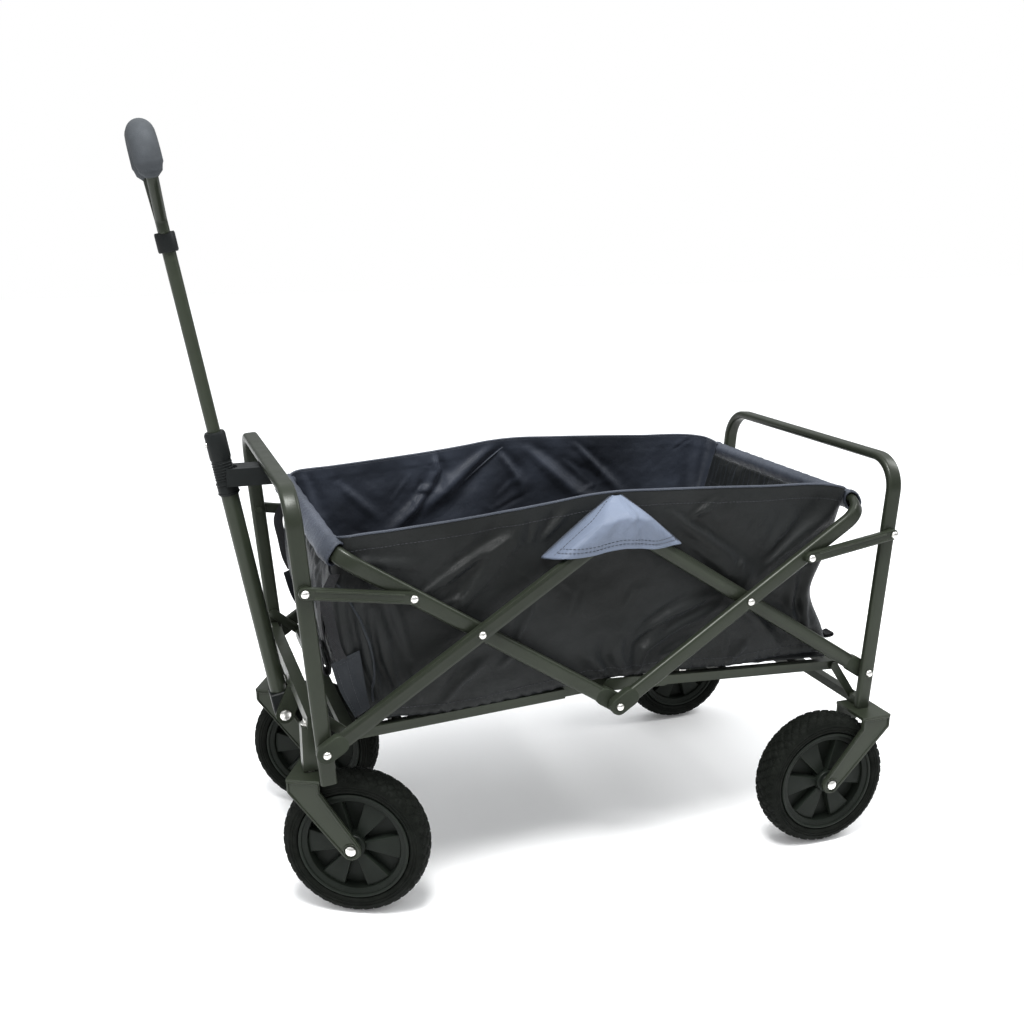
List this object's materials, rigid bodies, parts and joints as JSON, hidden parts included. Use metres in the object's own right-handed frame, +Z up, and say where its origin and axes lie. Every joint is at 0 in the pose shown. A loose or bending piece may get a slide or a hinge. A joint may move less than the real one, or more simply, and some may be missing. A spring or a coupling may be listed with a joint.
{
  "type": "folding camp wagon",
  "caption": "Collapsible pull wagon: crossed folding tubes on each side, an open cloth basket, swivelling front wheels, fixed rear wheels and a telescoping handle.",
  "frame": {"origin": "on the floor, under the middle of the whole object's box", "axes": "+Z up, +X towards the rear push bar, the pull handle at -X"},
  "size_m": [0.937, 0.5024, 0.946],
  "materials": {
    "powder_coat": "semi-gloss dark olive-black powder coat",
    "black_plastic": "satin moulded plastic",
    "hub_plastic": "satin moulded plastic",
    "tyre_rubber": "matt, diamond tread",
    "nickel": "bright plated steel",
    "fabric": "coated woven polyester with a cool sheen",
    "foam_grip": "matt moulded grip"
  },
  "bodies": {
    "front_frame": {"front_frame": "powder_coat", "steering_beam": "powder_coat", "handle_bracket": "powder_coat", "handle_pivot_bolt": "nickel", "parking_clip": "black_plastic", "sleeve_caster_l": "powder_coat", "sleeve_caster_r": "powder_coat"},
    "front_braces": {"front_brace_l": "powder_coat", "front_brace_r": "powder_coat"},
    "front_top_frame": {"front_top_frame": "powder_coat"},
    "rear_braces": {"rear_brace_l": "powder_coat", "rear_brace_r": "powder_coat"},
    "rear_top_frame": {"rear_top_frame": "powder_coat"},
    "rear_frame": {"rear_frame": "powder_coat", "rear_cross_bar": "powder_coat", "rear_fork_l": "powder_coat", "rear_fork_r": "powder_coat", "axle_rear_l": "nickel", "axle_rear_r": "nickel"},
    "front_links": {"front_link_l": "powder_coat", "front_link_r": "powder_coat"},
    "rear_links": {"rear_link_l": "powder_coat", "rear_link_r": "powder_coat"},
    "front_floor": {"front_floor_frame": "powder_coat", "front_floor_board": "fabric"},
    "rear_floor": {"rear_floor_frame": "powder_coat", "rear_floor_board": "fabric"},
    "basket": {"side_wall_l": "fabric", "side_wall_r": "fabric", "basket_floor": "fabric", "front_wall": "fabric"},
    "rear_curtain": {"rear_wall": "fabric"},
    "caster_l": {"fork_caster_l": "powder_coat", "stem_caster_l": "nickel", "axle_front_l": "nickel"},
    "caster_r": {"fork_caster_r": "powder_coat", "stem_caster_r": "nickel", "axle_front_r": "nickel"},
    "front_wheel_l": {"tyre_front_l": "tyre_rubber", "hub_front_l": "hub_plastic"},
    "front_wheel_r": {"tyre_front_r": "tyre_rubber", "hub_front_r": "hub_plastic"},
    "rear_wheel_l": {"tyre_rear_l": "tyre_rubber", "hub_rear_l": "hub_plastic"},
    "rear_wheel_r": {"tyre_rear_r": "tyre_rubber", "hub_rear_r": "hub_plastic"},
    "handle": {"handle_yoke": "black_plastic", "handle_lower_tube": "powder_coat", "handle_lock_collar": "black_plastic", "handle_top_collar": "black_plastic"},
    "handle_upper": {"handle_upper_tube": "powder_coat", "handle_neck": "black_plastic", "handle_loop": "powder_coat", "handle_grip": "foam_grip"},
    "lock_button": {"lock_button": "nickel"}
  },
  "joints": [
    {"name": "fold", "type": "hinge", "parent": "front_frame", "child": "front_braces", "pos_m": [-0.3069, 0, 0.23361], "axis": [0, -1, 0], "range_deg": [0, 35.33]},
    {"name": "front_scissor", "type": "hinge", "parent": "front_braces", "child": "front_top_frame", "pos_m": [-0.1169, 0, 0.358], "axis": [0, -1, 0], "range_deg": [-73.64, 0]},
    {"name": "apex", "type": "hinge", "parent": "front_braces", "child": "rear_braces", "pos_m": [0.0641, 0, 0.4765], "axis": [0, -1, 0], "range_deg": [-73.64, 0]},
    {"name": "rear_scissor", "type": "hinge", "parent": "rear_braces", "child": "rear_top_frame", "pos_m": [0.2451, 0, 0.358], "axis": [0, -1, 0], "range_deg": [0, 73.64]},
    {"name": "rear_foot", "type": "hinge", "parent": "rear_braces", "child": "rear_frame", "pos_m": [0.4351, 0, 0.23361], "axis": [0, -1, 0], "range_deg": [0, 35.34]},
    {"name": "front_link_hinge", "type": "hinge", "parent": "front_frame", "child": "front_links", "pos_m": [-0.32257, 0, 0.43049], "axis": [0, -1, 0], "range_deg": [0, 66.26]},
    {"name": "rear_link_hinge", "type": "hinge", "parent": "rear_frame", "child": "rear_links", "pos_m": [0.45077, 0, 0.43049], "axis": [0, -1, 0], "range_deg": [-66.26, 0]},
    {"name": "front_floor_hinge", "type": "hinge", "parent": "front_frame", "child": "front_floor", "pos_m": [-0.2709, 0, 0.2385], "axis": [0, -1, 0], "range_deg": [0, 65.38]},
    {"name": "rear_floor_hinge", "type": "hinge", "parent": "rear_frame", "child": "rear_floor", "pos_m": [0.3991, 0, 0.2385], "axis": [0, -1, 0], "range_deg": [-65.38, 0]},
    {"name": "basket_lift", "type": "slide", "parent": "front_frame", "child": "basket", "axis": [-0.0347, 0, 0.9994], "range_m": [0, 0.1618], "deforming": ["side_wall_l", "side_wall_r", "basket_floor"]},
    {"name": "rear_curtain_lift", "type": "slide", "parent": "rear_frame", "child": "rear_curtain", "axis": [0.0347, 0, 0.9994], "range_m": [0, 0.1618]},
    {"name": "caster_swivel_l", "type": "hinge", "parent": "front_frame", "child": "caster_l", "pos_m": [-0.3159, -0.145, 0.2], "axis": [0, 0, 1], "continuous": true},
    {"name": "front_wheel_spin_l", "type": "hinge", "parent": "caster_l", "child": "front_wheel_l", "pos_m": [-0.26645, -0.1702, 0.0925], "axis": [0.454, 0.891, 0], "continuous": true},
    {"name": "rear_wheel_spin_l", "type": "hinge", "parent": "rear_frame", "child": "rear_wheel_l", "pos_m": [0.3671, -0.217, 0.0925], "axis": [0, 1, 0], "continuous": true},
    {"name": "caster_swivel_r", "type": "hinge", "parent": "front_frame", "child": "caster_r", "pos_m": [-0.3159, 0.145, 0.2], "axis": [0, 0, 1], "continuous": true},
    {"name": "front_wheel_spin_r", "type": "hinge", "parent": "caster_r", "child": "front_wheel_r", "pos_m": [-0.26645, 0.1198, 0.0925], "axis": [0.454, 0.891, 0], "continuous": true},
    {"name": "rear_wheel_spin_r", "type": "hinge", "parent": "rear_frame", "child": "rear_wheel_r", "pos_m": [0.3671, 0.217, 0.0925], "axis": [0, 1, 0], "continuous": true},
    {"name": "handle_tilt", "type": "hinge", "parent": "front_frame", "child": "handle", "pos_m": [-0.3269, 0, 0.2015], "axis": [0, -1, 0], "range_deg": [0, 85]},
    {"name": "handle_slide", "type": "slide", "parent": "handle", "child": "handle_upper", "axis": [0.1702, 0, -0.9854], "range_m": [0, 0.2]},
    {"name": "lock_button_press", "type": "slide", "parent": "handle", "child": "lock_button", "axis": [0.9854, 0, 0.1702], "range_m": [0, 0.0024], "stiffness_N_per_m": 300}
  ],
  "couplings": [
    {"joint": "front_scissor", "follows": "fold", "ratio": -2.0837},
    {"joint": "apex", "follows": "fold", "ratio": -2.0837},
    {"joint": "rear_scissor", "follows": "fold", "ratio": 2.0837},
    {"joint": "rear_foot", "follows": "fold", "ratio": 1},
    {"joint": "front_link_hinge", "follows": "fold", "ratio": 1.875},
    {"joint": "rear_link_hinge", "follows": "fold", "ratio": -1.875},
    {"joint": "front_floor_hinge", "follows": "fold", "ratio": 1.85},
    {"joint": "rear_floor_hinge", "follows": "fold", "ratio": -1.85},
    {"joint": "basket_lift", "follows": "fold", "m_per_rad": 0.26212},
    {"joint": "rear_curtain_lift", "follows": "fold", "m_per_rad": 0.26212}
  ]
}
